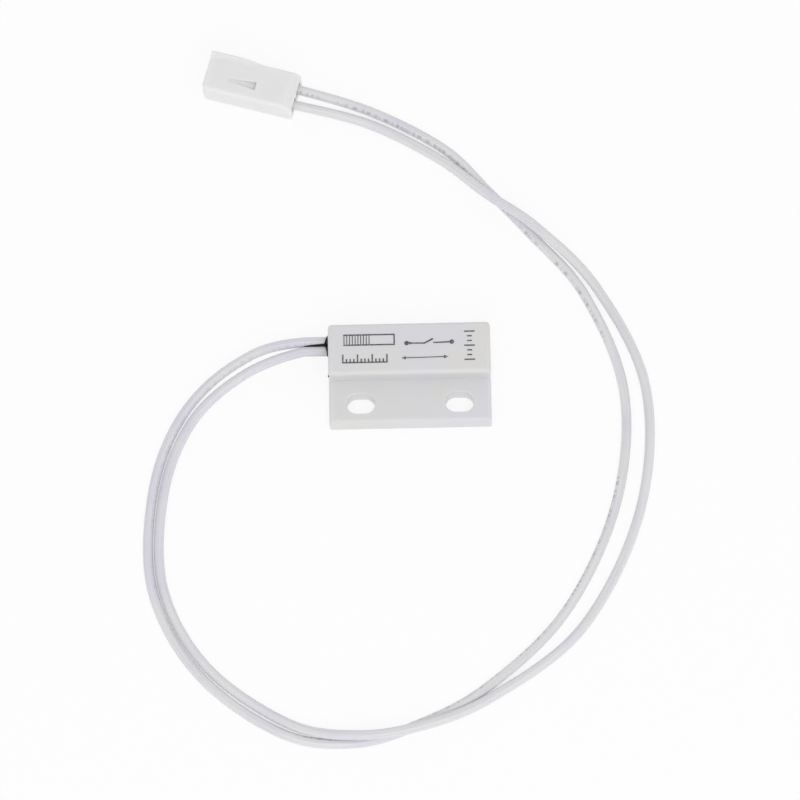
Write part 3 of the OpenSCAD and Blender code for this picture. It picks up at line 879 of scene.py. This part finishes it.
def inkDot(bm, centre, radius):
    turns = [2 * math.pi * k / signs["dotSides"] for k in range(signs["dotSides"])]
    inkFilm(bm, [(centre[0] + radius * math.cos(t), centre[1] + radius * math.sin(t)) for t in turns])


def inkStroke(bm, points, widths):  # a ribbon through the points, mitred where it bends
    points = [Vector(p) for p in points]
    left, right = [], []
    for i, (point, width) in enumerate(zip(points, widths)):
        before = (point - points[i - 1]).normalized() if i else (points[1] - point).normalized()
        after = (points[i + 1] - point).normalized() if i + 1 < len(points) else before
        mitre = Vector((-before.y - after.y, before.x + after.x)).normalized()
        mitre *= width / 2 / mitre.dot(Vector((-before.y, before.x)))
        left.append(tuple(point + mitre))
        right.append(tuple(point - mitre))
    inkFilm(bm, right + left[::-1])


def inkLine(bm, start, end, width):
    inkStroke(bm, (start, end), (width, width))


def contactSign(bm):
    sign, line = signs["contact"], signs["line"]
    start, end = [Vector(dot) for dot in sign["dots"]]
    hinge, rest = Vector(sign["hinge"]), Vector(sign["rest"])
    clear = sign["dotRadius"] + signs["gap"]
    nibWidth, nibLength = sign["nib"]
    for dot in (start, end):
        inkDot(bm, dot, sign["dotRadius"])
    along = (hinge - start).normalized()
    points = (start + along * clear, start + along * (clear + nibLength), hinge, sign["tip"])
    inkStroke(bm, points, (nibWidth, line, line, sign["tipWidth"]))
    inkLine(bm, rest, end - (end - rest).normalized() * clear, line)


def magnetSign(bm):
    sign, line, fine = signs["magnet"], signs["line"], signs["fine"]
    (x0, y0), (x1, y1) = sign["low"], sign["high"]
    for y in (y0, y1):
        inkLine(bm, (x0, y), (x1, y), line)
    clear = line / 2 + signs["gap"]
    step = (x1 - x0 - line) / 2 / sign["hatches"]
    for k in range(sign["hatches"] + 1):
        inkLine(bm, (x0 + line / 2 + k * step, y0 + clear), (x0 + line / 2 + k * step, y1 - clear), fine)
    inkLine(bm, (x1 - line / 2, y0 + clear), (x1 - line / 2, y1 - clear), line)


def scaleSign(bm):
    sign, line = signs["scale"], signs["line"]
    x, y = sign["from"]
    for k in range(sign["count"]):
        height = sign["long"] if k % sign["longEach"] == 0 else sign["short"]
        at = x + k * sign["step"]
        inkLine(bm, (at, y + line / 2 + signs["gap"]), (at, y + height), line)
    inkLine(bm, (x - line / 2, y), (x + (sign["count"] - 1) * sign["step"] + line / 2, y), line)


def travelSign(bm):
    sign = signs["travel"]
    start, end = Vector(sign["from"]), Vector(sign["to"])
    along = (end - start).normalized()
    across = Vector((-along.y, along.x)) * sign["head"][1] / 2
    for tip, way in ((start, 1), (end, -1)):
        back = tip + along * way * sign["head"][0]
        inkFilm(bm, [tuple(tip), tuple(back - across * way), tuple(back + across * way)])
    clear = along * (sign["head"][0] + signs["gap"])
    inkLine(bm, start + clear, end - clear, signs["fine"])


def levelSign(bm):
    sign = signs["level"]
    for k, width in enumerate(sign["widths"]):
        y = sign["from"] + k * sign["step"]
        inkLine(bm, (sign["middle"] - width / 2, y), (sign["middle"] + width / 2, y), signs["line"])


ink = padPrintInk()
drawings = {
    "contact": contactSign, "magnet": magnetSign, "scale": scaleSign,
    "travel": travelSign, "level": levelSign,
}
for name, draw in drawings.items():
    bm = bmesh.new()
    draw(bm)
    addPiece("print_" + name, meshFrom(bm, "print_" + name), ink)
print("signs printed")


# Studio: a pale floor that reads white to the camera, keeps a faint shadow and throws light back up as a lit
# table does, a soft sky, and one wide light in front, slightly to the right
studio = {
    "floorColour": "#f2f2f2",
    "floorHalf": 2000,  # half of its side
    "floorBelow": 0.02,  # clear of the part's underside
    "floorShadow": 0.15,  # share of the floor's own shading that shows
    "gapShadow": 0.75,  # and in a narrow gap, such as the one between the two leads
    "gapReach": 1.5,  # mm, how far off a thing still hides the floor
    "gapOpen": (0.08, 0.36),  # share of the sky seen from the floor in such a gap, and outside it
    "gapSamples": 3,
    "floorGlow": 0.8,  # share of the floor that is lit from below
    "floorLight": 1.08,
    "sky": 0.78,
    "lightPower": 2.3,
    "lightSize": 650,
    "lightAt": (80, -450, 700),
}
white = (1, 1, 1, 1)


def paperFloor(look):  # white paper on a lit table, grey only where little light gets in
    material = bpy.data.materials.new("paperFloor")
    material.use_nodes = True
    tree = material.node_tree
    tree.nodes.clear()
    paper = addNode(tree, "ShaderNodeBsdfDiffuse", {"Color": hexColour(look["floorColour"])})
    glow = addNode(tree, "ShaderNodeEmission", {"Color": white, "Strength": look["floorLight"]})
    lit = addNode(
        tree, "ShaderNodeMixShader", {0: look["floorGlow"]}, {1: paper.outputs[0], 2: glow.outputs[0]},
    )
    flat = addNode(tree, "ShaderNodeEmission", {"Color": white, "Strength": 1})
    sky = addNode(
        tree, "ShaderNodeAmbientOcclusion",
        {"samples": look["gapSamples"], "Distance": mm(look["gapReach"])},
    )
    shadow = addNode(
        tree, "ShaderNodeMapRange",
        {
            "From Min": look["gapOpen"][0], "From Max": look["gapOpen"][1],
            "To Min": look["gapShadow"], "To Max": look["floorShadow"],
        },
        {"Value": sky.outputs["AO"]},
    )
    plain = addNode(
        tree, "ShaderNodeMixShader", {}, {0: shadow.outputs[0], 1: flat.outputs[0], 2: paper.outputs[0]},
    )
    ray = addNode(tree, "ShaderNodeLightPath", {})
    seen = ray.outputs["Is Camera Ray"]
    for other in ("Is Glossy Ray", "Is Transmission Ray"):
        seen = addNode(
            tree, "ShaderNodeMath", {"operation": "MAXIMUM"}, {0: seen, 1: ray.outputs[other]},
        ).outputs[0]
    mix = addNode(tree, "ShaderNodeMixShader", {}, {0: seen, 1: lit.outputs[0], 2: plain.outputs[0]})
    addNode(tree, "ShaderNodeOutputMaterial", {}, {"Surface": mix.outputs[0]})
    return material


def makeStudio(look):
    bm = bmesh.new()
    bmesh.ops.create_grid(bm, x_segments=1, y_segments=1, size=mm(look["floorHalf"]))
    mesh = bpy.data.meshes.new("floor")
    bm.to_mesh(mesh)
    bm.free()
    floor = bpy.data.objects.new("floor", mesh)
    floor.location.z = cadBox[0].z - mm(look["floorBelow"])
    scene.collection.objects.link(floor)
    floor.data.materials.append(paperFloor(look))

    world = bpy.data.worlds.new("soft sky")
    world.use_nodes = True
    world.node_tree.nodes["Background"].inputs["Strength"].default_value = look["sky"]
    world.node_tree.nodes["Background"].inputs["Color"].default_value = white
    scene.world = world

    data = bpy.data.lights.new("softbox", "AREA")
    data.energy = look["lightPower"]
    data.size = mm(look["lightSize"])
    lamp = bpy.data.objects.new("softbox", data)
    lamp.location = mmPoint(look["lightAt"])
    lamp.rotation_euler = (-lamp.location).to_track_quat("-Z", "Y").to_euler()
    scene.collection.objects.link(lamp)


makeStudio(studio)
scene.view_settings.view_transform = "Standard"
print("studio set")
